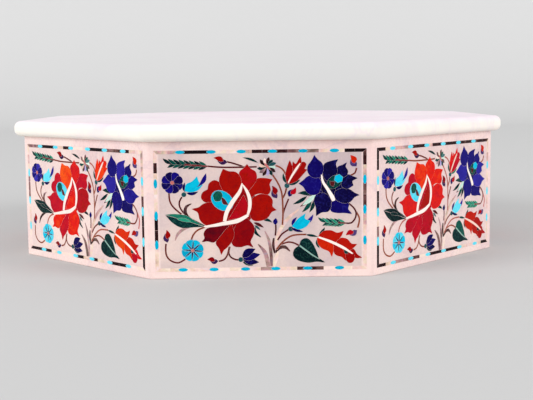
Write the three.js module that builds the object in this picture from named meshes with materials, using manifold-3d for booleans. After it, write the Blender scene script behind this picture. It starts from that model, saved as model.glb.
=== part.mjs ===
// An octagonal marble box with a loose slab lid. Every side panel carries the same floral inlay of
// cut stones, set flush in shallow pockets. Millimetres, +Z up. The origin is the centre of the
// underside, and the front panel faces -Y.
import * as THREE from "three";
import { mergeVertices } from "three/addons/utils/BufferGeometryUtils.js";
import Module from "manifold-3d";

const wasm = await Module();
wasm.setup();

// The body
const BODY_ACROSS_FLATS = 254;
const BODY_HEIGHT = 64.6;
const WALL = 9;
const FLOOR = 9;
const OUTER_CORNER_RADIUS = 2.2;
const INNER_CORNER_RADIUS = 4;

// The lid, a slab with a rounded edge and a raised plate below that keeps it centred
const LID_THICKNESS = 8.2;
const LID_OVERHANG = 5;
const LID_EDGE_ROUND = 3.4;
const LID_CORNER_RADIUS = 2;
const KEY_DEPTH = 2.6;
const KEY_CLEARANCE = 0.75;

// The inlay: its stones, the cement line round and under them, and the border band on a panel
const STONE_THICKNESS = 1.5;
const CEMENT_LINE = 0.3;
const BAND_WIDTH = 1.6;
const BAND_SIDE_INSET = 3.8;
const BAND_TOP_INSET = 5;
const BAND_BOTTOM_INSET = 4.3;

const SIDES = 8;
const SIDE_ANGLE = (2 * Math.PI) / SIDES;
const PANELS = ["front", "front_right", "right", "back_right", "back", "back_left", "left", "front_left"];

const lidAcrossFlats = BODY_ACROSS_FLATS + 2 * LID_OVERHANG;
const innerAcrossFlats = BODY_ACROSS_FLATS - 2 * WALL;
const panelWidth = BODY_ACROSS_FLATS * Math.tan(SIDE_ANGLE / 2);
const field = {
  width: panelWidth - 2 * BAND_SIDE_INSET,
  height: BODY_HEIGHT - BAND_TOP_INSET - BAND_BOTTOM_INSET,
  centreHeight: (BODY_HEIGHT - BAND_TOP_INSET + BAND_BOTTOM_INSET) / 2,
};
const drawingUnit = Math.hypot(field.width, field.height) / 100;

// Materials
function polished(color, roughness = 0.25) {
  return new THREE.MeshStandardMaterial({ color, roughness, metalness: 0 });
}

const MARBLE = polished("#e6d2cf", 0.3);
const LID_MARBLE = polished("#f6ecf0", 0.2);
const SHELL = polished("#8d8578", 0.2);
const RED_STONE = polished("#9c1220");
const BLUE_STONE = polished("#151569");
const ORANGE_STONE = polished("#d23a16");
const GREEN_STONE = polished("#0d5548");
const TURQUOISE = polished("#10b9dd");

// Solids

function solidOf(geometry) {
  geometry.deleteAttribute("normal");
  geometry.deleteAttribute("uv");
  const merged = mergeVertices(geometry, 1e-4);
  return new wasm.Manifold(
    new wasm.Mesh({
      numProp: 3,
      vertProperties: merged.attributes.position.array,
      triVerts: new Uint32Array(merged.index.array),
    }),
  );
}

function geometryOf(solid) {
  const mesh = solid.getMesh();
  const geometry = new THREE.BufferGeometry();
  geometry.setAttribute("position", new THREE.BufferAttribute(mesh.vertProperties, 3));
  geometry.setIndex(new THREE.BufferAttribute(mesh.triVerts, 1));
  geometry.computeVertexNormals();
  return geometry;
}

// Cuts and joins leave faces split where the solids met. Flat areas become whole again here.
const FLATNESS = 0.001;
const tidied = (solid) => solid.asOriginal().simplify(FLATNESS);

const joined = (solids) => tidied(solids.reduce((all, solid) => all.add(solid)));

// An arc of a shape becomes twice this many straight sides
const ARC_DETAIL = 1;

// A prism of a shape in the XY plane, between two heights
function prism(shape, bottom, top) {
  const geometry = new THREE.ExtrudeGeometry(shape, {
    depth: top - bottom,
    bevelEnabled: false,
    curveSegments: ARC_DETAIL,
  });
  return solidOf(geometry.translate(0, 0, bottom));
}

// The body and the lid

// A regular polygon with flats facing the axes and rounded corners
function roundedPolygon(acrossFlats, cornerRadius) {
  const shape = new THREE.Shape();
  const toArcCentre = (acrossFlats / 2 - cornerRadius) / Math.cos(SIDE_ANGLE / 2);
  for (let side = 0; side < SIDES; side++) {
    const corner = (side + 0.5) * SIDE_ANGLE;
    const [x, y] = [toArcCentre * Math.cos(corner), toArcCentre * Math.sin(corner)];
    shape.absarc(x, y, cornerRadius, side * SIDE_ANGLE, (side + 1) * SIDE_ANGLE, false);
  }
  return shape;
}

function bodySolid(pockets) {
  const block = prism(roundedPolygon(BODY_ACROSS_FLATS, OUTER_CORNER_RADIUS), 0, BODY_HEIGHT);
  const hollow = prism(roundedPolygon(innerAcrossFlats, INNER_CORNER_RADIUS), FLOOR, BODY_HEIGHT + WALL);
  return tidied(pockets.reduce((body, pocket) => body.subtract(pocket), block.subtract(hollow)));
}

function lidSolid() {
  const flatTop = roundedPolygon(lidAcrossFlats - 2 * LID_EDGE_ROUND, LID_CORNER_RADIUS);
  const slab = new THREE.ExtrudeGeometry(flatTop, {
    depth: LID_THICKNESS - 2 * LID_EDGE_ROUND,
    bevelSize: LID_EDGE_ROUND,
    bevelThickness: LID_EDGE_ROUND,
    bevelSegments: 3,
    curveSegments: ARC_DETAIL,
  }).translate(0, 0, LID_EDGE_ROUND);
  const key = roundedPolygon(innerAcrossFlats - 2 * KEY_CLEARANCE, INNER_CORNER_RADIUS);
  return joined([solidOf(slab), prism(key, -KEY_DEPTH, LID_THICKNESS / 2)]);
}

// The drawing of the flowers. Each flower has its place as shares of the field's width and height,
// and is drawn round that place in hundredths of the field's diagonal. Each function gives the
// outline of one stone, or of stones that touch, from a few such sizes.

// A petal or leaf from its root to its tip. curl, from -1 to 1, hooks the tip to the right or left:
// the outline swells on the outside of the hook and runs straight to the tip on the inside.
function petal({ root, tip, width, curl = 0, rootShare = 0.5 }) {
  const from = new THREE.Vector2(...root);
  const along = new THREE.Vector2(...tip).sub(from);
  const across = new THREE.Vector2(-along.y, along.x).setLength(width / 2);
  const at = (length, side) => from.clone().addScaledVector(along, length).addScaledVector(across, side);
  const edge = (side) => {
    const widest = at(0.45, side + 0.1 * curl);
    const shoulder = at(0.8, 0.62 * side + 0.3 * curl);
    return curl * side < 0 ? [widest] : [widest, shoulder];
  };
  return [at(0, rootShare), ...edge(1), at(1, 0), ...edge(-1).reverse(), at(0, -rootShare)];
}

// A ring of points round a flower's middle, where every second point may lie further in
function star({ radius, points, notch = 1 }) {
  return Array.from({ length: points }, (_, step) => {
    const angle = (step * 2 * Math.PI) / points;
    const reach = step % 2 ? radius * notch : radius;
    return new THREE.Vector2(reach * Math.cos(angle), reach * Math.sin(angle));
  });
}

const FLOWERS = {
  rose: {
    at: [0.380, 0.519],
    material: RED_STONE,
    outlines: [
      star({ radius: 8.5, points: 8 }),
      petal({ root: [0.4, 4.5], tip: [-4.4, 16], width: 8.4, curl: 0.8 }),
      petal({ root: [4.4, 6.2], tip: [5, 17.8], width: 7.1, curl: -0.3 }),
      petal({ root: [4.9, 4], tip: [15, 11.8], width: 7.1, curl: 0.5 }),
      petal({ root: [5.3, 0], tip: [16.2, -0.5], width: 10.2, curl: 0.6 }),
      petal({ root: [1.8, -4.9], tip: [6.6, -16.1], width: 9.3, curl: 0.5 }),
      petal({ root: [-2.8, -6.2], tip: [-6.2, -18.8], width: 6.6, curl: 0.3 }),
      petal({ root: [-3.6, -5.3], tip: [-13.8, -13.5], width: 7.5, curl: 0.7 }),
      petal({ root: [-4, -2.7], tip: [-17.7, -0.3], width: 9.4, curl: -0.8 }),
      petal({ root: [-3.1, 3.6], tip: [-12.4, 9.1], width: 8 }),
    ],
  },
  blue_flower: {
    at: [0.826, 0.664],
    material: BLUE_STONE,
    outlines: [
      star({ radius: 6.1, points: 8 }),
      petal({ root: [-2.2, 3.6], tip: [-5.7, 13.9], width: 6.8, curl: 0.7 }),
      petal({ root: [0.5, 3.6], tip: [3.6, 12.3], width: 6.6, curl: -0.5 }),
      petal({ root: [2.7, 3.6], tip: [7.4, 11], width: 4.3, curl: 0.4 }),
      petal({ root: [-2.7, 1.3], tip: [-11.9, 2.9], width: 7.3 }),
      petal({ root: [2.7, 2.2], tip: [11.5, 4.5], width: 5.2 }),
      petal({ root: [2.7, -1.8], tip: [12.1, -2.1], width: 5.7 }),
      petal({ root: [-1.2, -1.8], tip: [-4.8, -9.9], width: 7.1, curl: -0.6 }),
      petal({ root: [1.3, -3.1], tip: [9.2, -9.4], width: 6.2, curl: 0.5 }),
    ],
  },
  orange_bud: {
    at: [0.867, 0.193],
    material: ORANGE_STONE,
    outlines: [
      petal({ root: [-7.5, 2.1], tip: [2.1, 5.3], width: 4.5, rootShare: 0.7 }),
      petal({ root: [-7.5, 1.8], tip: [7.5, 0.2], width: 5, rootShare: 0.6 }),
      petal({ root: [-7, 1.2], tip: [9.5, -4.9], width: 6.8, rootShare: 0.5 }),
      petal({ root: [-7.1, 1.8], tip: [-1.8, -4.4], width: 4.8, rootShare: 0.5 }),
    ],
  },
  tulip: {
    at: [0.667, 0.817],
    material: RED_STONE,
    outlines: [
      petal({ root: [-3.5, -5.6], tip: [-2.1, 4.6], width: 3.6, curl: -0.4 }),
      petal({ root: [-3.2, -5.8], tip: [2.1, 6], width: 4.5, rootShare: 0.6 }),
      petal({ root: [-2.9, -5.8], tip: [4.4, 1.9], width: 4.8, curl: -0.6 }),
    ],
  },
  heart_leaf: {
    at: [0.739, 0.121],
    material: GREEN_STONE,
    outlines: [
      petal({ root: [-4.6, 2.7], tip: [5.3, -3.3], width: 7.8, curl: -0.2, rootShare: 0.7 }),
    ],
  },
  turquoise_flower: {
    at: [0.171, 0.165],
    material: TURQUOISE,
    outlines: [star({ radius: 4.6, points: 16, notch: 0.84 })],
  },
};

// From a flower's own drawing to the panel, whose origin is the middle of its lower edge
function placed(outline, [shareAcross, shareUp]) {
  const middle = new THREE.Vector2(
    (shareAcross - 0.5) * field.width,
    (shareUp - 0.5) * field.height + field.centreHeight,
  );
  return outline.map((point) => point.clone().multiplyScalar(drawingUnit).add(middle));
}

// An outline with every side moved outwards by a distance
function grown(outline, distance) {
  const turn = THREE.ShapeUtils.isClockWise(outline) ? -1 : 1;
  const outwards = (a, b) => new THREE.Vector2(b.y - a.y, a.x - b.x).normalize().multiplyScalar(turn);
  return outline.map((point, i) => {
    const before = outline[(i + outline.length - 1) % outline.length];
    const after = outline[(i + 1) % outline.length];
    const [one, other] = [outwards(before, point), outwards(point, after)];
    const corner = one.clone().add(other);
    return point.clone().addScaledVector(corner, distance / (1 + one.dot(other)));
  });
}

// A frame of flat bands round the field, as wide as asked on its centre line
function bandShape(width) {
  const rectangle = (grow) => {
    const [x, y] = [field.width / 2 + grow, field.height / 2 + grow];
    const corners = [[-x, -y], [x, -y], [x, y], [-x, y]];
    return corners.map(([across, up]) => new THREE.Vector2(across, up + field.centreHeight));
  };
  const shape = new THREE.Shape(rectangle(width / 2));
  shape.holes.push(new THREE.Path(rectangle(-width / 2)));
  return shape;
}

// Stones lie flush with the panel. A pocket leaves the cement line round and under them and opens
// outwards.
const stonePrism = (shape) => prism(shape, -STONE_THICKNESS, 0);
const pocketPrism = (shape) => prism(shape, -STONE_THICKNESS - CEMENT_LINE, STONE_THICKNESS);

function inlays() {
  const border = {
    name: "border",
    material: SHELL,
    stone: stonePrism(bandShape(BAND_WIDTH)),
    pocket: pocketPrism(bandShape(BAND_WIDTH + 2 * CEMENT_LINE)),
  };
  const flowers = Object.entries(FLOWERS).map(([name, { at, material, outlines }]) => {
    const shapes = outlines.map((outline) => placed(outline, at));
    return {
      name,
      material,
      stone: joined(shapes.map((outline) => stonePrism(new THREE.Shape(outline)))),
      pocket: joined(shapes.map((outline) => pocketPrism(new THREE.Shape(grown(outline, CEMENT_LINE))))),
    };
  });
  return [border, ...flowers];
}

// The scene graph

// A panel's frame: x runs to the right along its lower edge, y up, and z out of the face
function panelGroup(index) {
  const turned = new THREE.Group();
  turned.rotation.z = index * SIDE_ANGLE;
  const panel = new THREE.Group();
  panel.position.y = -BODY_ACROSS_FLATS / 2;
  panel.rotation.x = Math.PI / 2;
  turned.add(panel);
  turned.updateMatrixWorld(true);
  return { turned, panel };
}

function named(name, solid, material) {
  const mesh = new THREE.Mesh(geometryOf(solid), material);
  mesh.name = name;
  return mesh;
}

const box = new THREE.Group();
const pieces = inlays();
const pockets = [];
PANELS.forEach((side, index) => {
  const { turned, panel } = panelGroup(index);
  for (const { name, material, stone, pocket } of pieces) {
    panel.add(named(`${side}_${name}`, stone, material));
    pockets.push(solidOf(geometryOf(pocket).applyMatrix4(panel.matrixWorld)));
  }
  box.add(turned);
});
box.add(named("box_body", bodySolid(pockets), MARBLE));

const lid = named("lid", lidSolid(), LID_MARBLE);
lid.position.z = BODY_HEIGHT;
box.add(lid);

export default box;
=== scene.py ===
"""An octagonal marble box with a loose lid and eight panels of floral stone inlay."""

import math
import random
from collections import namedtuple

import bmesh
import bpy
from mathutils import Matrix, Vector
from mathutils.geometry import delaunay_2d_cdt


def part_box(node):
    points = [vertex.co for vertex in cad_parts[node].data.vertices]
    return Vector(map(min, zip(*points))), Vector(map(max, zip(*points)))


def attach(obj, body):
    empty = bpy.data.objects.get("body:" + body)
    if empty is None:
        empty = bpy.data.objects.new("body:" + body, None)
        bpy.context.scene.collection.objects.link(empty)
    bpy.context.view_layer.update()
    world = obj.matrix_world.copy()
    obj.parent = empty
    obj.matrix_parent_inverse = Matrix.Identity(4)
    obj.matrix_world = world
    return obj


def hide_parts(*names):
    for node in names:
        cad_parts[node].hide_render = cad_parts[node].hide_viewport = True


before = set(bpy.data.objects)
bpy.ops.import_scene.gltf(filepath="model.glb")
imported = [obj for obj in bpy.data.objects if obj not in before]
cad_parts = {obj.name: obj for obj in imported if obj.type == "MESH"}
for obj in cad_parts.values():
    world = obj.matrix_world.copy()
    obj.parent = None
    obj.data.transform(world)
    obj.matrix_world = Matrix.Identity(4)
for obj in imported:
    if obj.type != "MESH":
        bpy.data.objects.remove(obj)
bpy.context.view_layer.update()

MM = 0.001

# Sizes that the solids fix
BODY_LOW, BODY_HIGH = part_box("box_body")
LID_LOW, LID_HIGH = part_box("lid")
ACROSS_FLATS = BODY_HIGH.x - BODY_LOW.x
BODY_HEIGHT = BODY_HIGH.z
LID_ACROSS_FLATS = LID_HIGH.x - LID_LOW.x
LID_THICKNESS = LID_HIGH.z - BODY_HEIGHT
KEY_DEPTH = BODY_HEIGHT - LID_LOW.z

SIDES = 8
SIDE_ANGLE = 2 * math.pi / SIDES
PANELS = ["front", "front_right", "right", "back_right", "back", "back_left", "left", "front_left"]

# Walls, edges and stones, in metres
WALL = 9 * MM
FLOOR = 9 * MM
OUTER_CORNER_RADIUS = 2.2 * MM
INNER_CORNER_RADIUS = 4 * MM
FLOOR_FILLET = 3 * MM
RIM_ROUND = 0.5 * MM
LID_EDGE_ROUND = 3.4 * MM
LID_CORNER_RADIUS = 5.4 * MM
KEY_CLEARANCE = 0.75 * MM
STONE_THICKNESS = 1.5 * MM
STONE_PROUD = 0.03 * MM

# How many faces make up each rounding
BODY_SEGMENTS, RIM_SEGMENTS = 5, 3
LID_CORNER_SEGMENTS, LID_EDGE_SEGMENTS = 6, 7

# The marble behind each drawing is tinted, most of all on the front. The tint fades out over a
# short way round it.
FIELD_INSET = 3.8 * MM
FIELD_FADE = 1 * MM
FRONT_TINT, OTHER_TINT = 1, 0.4

# Points closer than this are in one place, and an edge with a greater angle, in radians, is sharp
SAME_PLACE = 1e-6
SHARP_ANGLE = 1

# A panel is drawn in millimetres from its lower left corner. The middle of what is drawn lies in
# the middle of the panel's width.
DRAWING_MIDDLE = 53.2
BAND_WIDTH = 1.6
BAND_LEFT, BAND_RIGHT = 4.4, 102.0
BAND_LOW, BAND_HIGH = 4.3, 59.6
STEM_WIDTH = 0.75
PETAL_EXTRA = 0.22

# The joint round each stone. Corners closer than SAME_POINT become one, a loose crumb of a stone
# below CRUMB_AREA, in square millimetres, is left out, and the triangles of a stone's face that
# meet at less than FLAT_ANGLE, in radians, become one face.
JOINT = 0.07
SAME_POINT = 0.01
CRUMB_AREA = 0.05
FLAT_ANGLE = 0.01

# How far apart the points of a curved outline are
LOOP_STEP, STROKE_STEP, LEAF_STEP, PETAL_STEP = 0.9, 1.1, 1.2, 0.7

Stone = namedtuple("Stone", "group kind outline tones")


# Outlines of stones

def hermite(start, end, leave, arrive, steps):
    """Points from start up to just before end on a smooth curve."""
    points = []
    for i in range(steps):
        t = i / steps
        points.append(
            start * (2 * t**3 - 3 * t**2 + 1)
            + leave * (t**3 - 2 * t**2 + t)
            + end * (3 * t**2 - 2 * t**3)
            + arrive * (t**3 - t**2)
        )
    return points


def loop(points, corners=(0,), step=LOOP_STEP):
    """A closed smooth outline through the points, sharp at the corners."""
    through = [Vector(p) for p in points]
    count = len(through)

    def slope(i, chord):
        if i in corners:
            return chord
        return (through[(i + 1) % count] - through[i - 1]) / 2

    outline = []
    for i, start in enumerate(through):
        end = through[(i + 1) % count]
        chord = end - start
        steps = max(3, round(chord.length / step))
        outline += hermite(start, end, slope(i, chord), slope((i + 1) % count, chord), steps)
    return outline


def stroke(points, widths):
    """A strip along a smooth line, whose width changes from point to point."""
    through = [Vector(p) for p in points]
    if isinstance(widths, (int, float)):
        widths = [widths] * len(through)
    centre, width = [], []
    for i in range(len(through) - 1):
        before, after = through[max(i - 1, 0)], through[min(i + 2, len(through) - 1)]
        start, end = through[i], through[i + 1]
        steps = max(2, round((end - start).length / STROKE_STEP))
        centre += hermite(start, end, (end - before) / 2, (after - start) / 2, steps)
        width += [widths[i] + (widths[i + 1] - widths[i]) * s / steps for s in range(steps)]
    centre.append(through[-1])
    width.append(widths[-1])
    left, right = [], []
    for i, point in enumerate(centre):
        along = centre[min(i + 1, len(centre) - 1)] - centre[max(i - 1, 0)]
        across = Vector((-along.y, along.x)).normalized() * (width[i] / 2)
        left.append(point + across)
        right.append(point - across)
    return left + right[::-1]


def leaf(root, tip, width, bend=0.0, widest=0.45):
    """A leaf or petal with a sharp root and tip. bend moves its middle to the left."""
    root, along = Vector(root), Vector(tip) - Vector(root)
    across = Vector((-along.y, along.x)).normalized()
    power = math.log(0.5) / math.log(widest)
    steps = max(5, round(along.length / LEAF_STEP))
    right, left = [], []
    for i in range(1, steps):
        share = i / steps
        middle = root + along * share + across * bend * 4 * share * (1 - share)
        half = across * (width / 2 * math.sin(math.pi * share**power))
        right.append(middle - half)
        left.append(middle + half)
    return [root, *right, Vector(tip), *left[::-1]]


def oval(centre, length, height, turn=0.0, sides=12):
    """An ellipse turned by an angle in degrees."""
    across = Matrix.Rotation(math.radians(turn), 2) @ Vector((length / 2, 0))
    up = Matrix.Rotation(math.radians(turn), 2) @ Vector((0, height / 2))
    angles = [2 * math.pi * i / sides for i in range(sides)]
    return [Vector(centre) + across * math.cos(a) + up * math.sin(a) for a in angles]


def ray(angle):
    """A unit step at an angle in radians."""
    return Vector((math.cos(angle), math.sin(angle)))


def rounded_petal(centre, angle, inner, outer, width):
    """A petal with a round end on a ray from a flower's centre."""
    out = ray(angle)
    across = Vector((-out.y, out.x)) * (width / 2)
    centre = Vector(centre)
    reach = outer - inner
    root, middle, end = (inner, 0.25), (inner + reach * 0.62, 1), (outer - reach * 0.06, 0.6)
    right = [centre + out * far - across * share for far, share in (root, middle, end)]
    left = [centre + out * far + across * share for far, share in (end, middle, root)]
    return loop(right + left, corners=(0, 5), step=PETAL_STEP)


def anticlockwise(outline):
    area = sum(outline[i - 1].cross(outline[i]) for i in range(len(outline)))
    return outline if area > 0 else outline[::-1]


def spread(outline, distance):
    """An anticlockwise outline moved outwards all round, for the joint round a stone."""
    moved = []
    for i, point in enumerate(outline):
        before = (point - outline[i - 1]).normalized()
        after = (outline[(i + 1) % len(outline)] - point).normalized()
        one = Vector((before.y, -before.x))
        other = Vector((after.y, -after.x))
        reach = 1 + max(one.dot(other), -0.5)
        moved.append(point + (one + other) * (distance / reach))
    return moved


# The drawing of a panel. Stones laid first lie over those laid later. A tone runs from 0, the
# darkest stone of its kind, to 1, the lightest. Three tones are for the front panel and for the
# panels to its left and right, whose stones differ; in shell the difference is partly painted
# reflection in its nacre.

def laid(group, drawn):
    """Stones of one group. Each is drawn as its kind, its outline and its one or three tones."""
    return [Stone(group, kind, outline, tones) for kind, outline, *tones in drawn]


def petals(group, kind, drawn):
    """Big petals, drawn a little too large so that each is cut to fit the ones over it."""
    return [Stone(group, kind, spread(anticlockwise(loop(points, corners)), PETAL_EXTRA), tones)
            for points, corners, tones in drawn]


def rose():
    strokes = [
        ([(44.7, 44.8), (43.6, 41), (40.2, 36.2), (37.4, 31.4), (36.3, 27)], [0.4, 1.5, 1.9, 1.8, 1.5]),
        ([(44.9, 44.2), (46.9, 41), (48.1, 37.4), (48.1, 33.4), (47.1, 29.8)], [0.4, 1.3, 1.6, 1.5, 0.9]),
        ([(47.3, 29.8), (42.4, 27.2), (36, 26), (31, 25.1), (26.6, 24.7)], [1.2, 1.9, 1.6, 1.2, 0.4]),
    ]
    heart = [(31, 39.2), (32.4, 41.1), (34.6, 41), (35.5, 39), (34.4, 36.6), (32, 36.6)]
    seed = [(34.9, 38.7), (36.6, 37.3), (38.2, 34.7), (35.6, 35.3)]
    stones = laid("rose", [
        *(("cream", stroke(points, widths), 0.8) for points, widths in strokes),
        ("green", loop(heart, corners=(0, 4)), 0.5),
        ("maroon", loop(seed, corners=(0, 2)), 0.3),
        ("turquoise", oval((35.3, 36.8), 11.4, 8.6, -38, 18), 0.5, 0.9, 0.9),
    ])
    stones += petals("rose", "red", [
        ([(45.3, 39), (38.3, 28), (42.6, 28.6), (47, 30.2), (47.1, 34.5)], (0, 1, 3), (0.5, 0.75, 0.4)),
        ([(36, 51.4), (38.6, 50.3), (41.8, 49.9), (43.9, 47.4), (44, 43.6), (42.8, 39.6), (41, 37),
          (38.4, 38.4), (35.7, 41.8), (34.2, 46), (35, 49.2)], (0, 6), (0.42, 0.95, 0.85)),
        ([(47.1, 53.4), (48.6, 51.5), (50.9, 50), (51.4, 47.2), (50, 44.2), (47.2, 41), (45.5, 43.4),
          (43.7, 47), (43.7, 50), (45.7, 51.8)], (0, 5), (0.42, 0.78, 0.75)),
        ([(58.5, 46.3), (57.3, 44.2), (57.8, 41.5), (56.5, 39.5), (53.5, 40.1), (50.4, 39.4), (48.2, 37.4),
          (47.7, 41), (49.1, 44.4), (51.8, 46.7), (55.2, 46.9)], (0, 6), (0.36, 0.6, 0.8)),
        ([(60.3, 32.1), (58.2, 31.2), (56.3, 28.6), (53, 27.2), (49.6, 27.6), (48.1, 30.6), (48.5, 34.6),
          (50.1, 37.9), (53.6, 39.5), (57, 38.8), (58.7, 36.4), (58.5, 33.8)], (0,), (0.4, 0.52, 0.72)),
        ([(21.3, 33), (24, 31.4), (24.9, 28), (27.4, 25.5), (31, 24.8), (34.2, 26.2), (36.6, 29.6),
          (37, 33), (33.6, 34), (30.4, 35.9), (26.8, 35.3), (24.3, 33.6)], (0, 7), (0.26, 0.6, 0.8)),
        ([(34.4, 44.8), (31.8, 46.2), (29.4, 44.7), (28.8, 42), (26.4, 40.6), (25.7, 38.2), (27.4, 36.3),
          (30.4, 36.4), (33.4, 38), (35.4, 41)], (3,), (0.3, 0.6, 0.6)),
        ([(25.7, 17.5), (28.2, 17.9), (31, 17.3), (33.4, 19.5), (35.6, 22.3), (38, 24.9), (33, 24.4),
          (28.4, 23.7), (26.6, 21.4), (27, 19.2)], (0, 5), (0.03, 0.8, 0.6)),
        ([(34.5, 11.5), (35.6, 13.5), (37.2, 14.8), (39.4, 17.6), (40.5, 21), (39.6, 25.2), (36, 22.6),
          (33.6, 19.5), (32.2, 16.7), (33.7, 14.2)], (0, 5), (0.3, 0.6, 0.6)),
        ([(49.4, 14.6), (48.1, 17.3), (49.6, 20.6), (49.8, 24.6), (46.8, 28.2), (43, 26.8), (40.7, 22.8),
          (39.4, 18.6), (40.4, 15.5), (43.6, 14.9), (46.9, 15.7)], (0, 4), (0.17, 0.78, 0.5)),
        ([(36, 40), (41, 45), (47.5, 44), (50.5, 38), (48.5, 28.5), (43, 24), (36, 23.6), (32.5, 27.5)], (),
         (0.3, 0.6, 0.6)),
    ])
    return stones


def blue_flower():
    band = [(81.8, 48.3), (82.4, 45), (84.8, 41.2), (86.8, 37.6), (87.3, 36)]
    seed = [(85.6, 45.3), (88, 45), (87.4, 42.6), (86, 43.4)]
    stones = laid("blue_flower", [
        ("cream", stroke(band, [0.5, 1.1, 1.4, 1.9, 1.4]), 0.9),
        ("turquoise", oval((89.7, 46.4), 4.3, 4.1, 20, 6), 0.6),
        ("maroon", loop(seed, corners=(0, 1, 2)), 0.2),
        ("green", oval((87.8, 44.9), 8.2, 5.6, 35, 14), 0.35, 0.5, 0.5),
    ])
    stones += petals("blue_flower", "blue", [
        ([(78.5, 57.2), (79.8, 55.5), (81.9, 53.6), (82.5, 50.6), (81.2, 47.3), (77.9, 47.2), (75.6, 49.4),
          (75.5, 52.4), (77.3, 54.9)], (0, 4), (0.35, 0.5, 0.6)),
        ([(89.3, 55.2), (88.3, 53.2), (89, 50), (87.6, 47), (84.6, 45.2), (82.9, 47.4), (82.5, 50.8),
          (83.4, 53.4), (86.2, 54.5)], (0, 4), (0.08, 0.8, 0.5)),
        ([(93.5, 53.8), (92.8, 52), (94, 49.8), (92.9, 47.6), (90.4, 47.2), (88.9, 49.4), (89.5, 51.8),
          (91.6, 52.6)], (0,), (0.05, 0.45, 0.6)),
        ([(71.4, 44.3), (73.4, 45.8), (75.6, 47.6), (78.4, 47.8), (80.9, 46.2), (81.4, 42.8), (80, 39.6),
          (77, 39.1), (74.6, 40.7), (73.4, 42.8)], (0,), (0.58, 0.8, 0.85)),
        ([(98.3, 46.5), (96, 45.3), (96.4, 43.2), (93.6, 41.7), (91.3, 43), (91.5, 46), (94, 48.1),
          (96, 47.4)], (0, 2), (0.12, 0.6, 0.8)),
        ([(99.2, 38.6), (97, 37.7), (95, 35.5), (91.6, 35.1), (88.4, 36.9), (88.1, 40), (91, 41.6),
          (94.5, 41.3), (97, 39.6)], (0,), (0.08, 0.7, 0.85)),
        ([(79.3, 29.3), (81.8, 30.8), (84.6, 31.1), (86.1, 33.6), (85.8, 37.2), (83, 39.5), (79.8, 39.2),
          (78.3, 36.4), (79.2, 33)], (0, 4), (0.08, 0.5, 0.55)),
        ([(95.7, 29.9), (94, 32), (94.3, 34.4), (91.8, 36.6), (88.4, 36.5), (86.1, 34.3), (86.3, 31.3),
          (89.4, 30.4), (92.4, 30.4)], (0, 3), (0.4, 0.45, 0.45)),
        ([(82.2, 47.2), (84.6, 45.2), (87.9, 41.6), (88.4, 38.2), (87, 36.2), (83.4, 39.2), (81.5, 42.6)],
         (0, 4), (0.0, 0.3, 0.35)),
    ])
    return stones + laid("blue_flower", [("blue", oval((86.3, 42.4), 14.5, 15, 0, 16), 0.05, 0.4, 0.4)])


def orange_bud():
    band = [(80.3, 18.9), (86, 16.7), (91.6, 13.9), (96.2, 10.9)]
    stones = laid("orange_bud", [
        ("cream", stroke(band, [0.7, 1.1, 1.2, 0.5]), 0.9, 0.8, 0.5),
        ("green", leaf((92.2, 12.5), (94, 10.9), 1.7), 0.3),
    ])
    stones += petals("orange_bud", "orange", [
        ([(80.4, 19.5), (82.6, 21.6), (86, 21.9), (89, 20.7), (91.7, 21.5), (90.4, 18.9), (88, 16.5),
          (84.6, 17.6)], (0, 4, 6), (0.28, 0.7, 0.4)),
        ([(79.7, 18.4), (83.2, 17.5), (86.8, 16), (87, 13), (86.4, 9.7), (85.2, 12.2), (82, 13.7),
          (80.1, 15.8)], (0, 2, 4), (0.5, 0.75, 0.45)),
        ([(86.8, 16.2), (89.8, 14.6), (92.6, 12.9), (92.6, 10.4), (93, 7.7), (91.2, 9.5), (88.4, 10.5),
          (87.2, 12.8)], (0, 2, 4), (0.25, 0.6, 0.3)),
        ([(88.4, 16.9), (90.8, 18.3), (93.6, 17.7), (95.6, 15.5), (98, 15.3), (96, 13.4), (93.8, 12.2),
          (91, 14)], (0, 4, 6), (0.3, 0.35, 0.2)),
    ])
    stones += petals("orange_bud", "red", [
        ([(94, 11.8), (96.2, 11), (97, 9), (96.1, 7), (94.3, 6.8), (93, 8.6), (92.9, 10.6)], (0,),
         (0.4, 0.6, 0.4)),
        ([(93.9, 12.9), (96.6, 12.9), (98.1, 10.6), (100.4, 9), (97.6, 9), (95.6, 10.8)], (0, 3),
         (0.35, 0.7, 0.45)),
    ])
    return stones + laid("orange_bud", [
        ("green", leaf((80.4, 19.9), (83.2, 23.6), 1.5, -0.3), 0.25),
        ("green", leaf((79.7, 18.4), (80.6, 13.6), 1.5, -0.5), 0.4),
        ("green", leaf((74.2, 20.2), (80, 19.1), 1.2, 0.1), 0.3),
    ])


def tulip():
    band = [(66.2, 44.8), (68.2, 48.4), (70.3, 51.6), (71.9, 53.8)]
    stones = laid("tulip", [("cream", stroke(band, [0.5, 0.9, 1, 0.4]), 0.7, 0.6, 0.4)])
    stones += petals("tulip", "red", [
        ([(65.9, 44.4), (65.1, 47.8), (65.7, 51.3), (67, 55), (67.9, 52.4), (68.2, 49), (67.2, 46.4)],
         (0, 3, 5), (0.4, 0.85, 0.75)),
        ([(67.6, 47.4), (68.2, 50.4), (68.5, 54.4), (69.9, 53.4), (72, 56.7), (72.2, 53.9), (70.6, 51.2)],
         (0, 2, 4), (0.45, 0.8, 0.7)),
        ([(66.6, 44.3), (70, 45.6), (72.6, 48.3), (74.8, 50.7), (73.5, 51.1), (74.5, 53.3), (73.1, 54.3),
          (71.4, 52.4), (69, 48.8)], (0, 3, 4), (0.3, 0.9, 0.6)),
    ])
    return stones + laid("tulip", [
        ("green", leaf((65.5, 44.4), (63.9, 49.4), 1.3, 0.5), 0.15, 0.4, 0.5),
        ("green", leaf((66.5, 43.7), (71.9, 46.2), 1.5, -0.3), 0.2, 0.3, 0.8),
        ("teal", oval((65.6, 43.4), 2.4, 2.4), 0.4),
    ])


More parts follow.
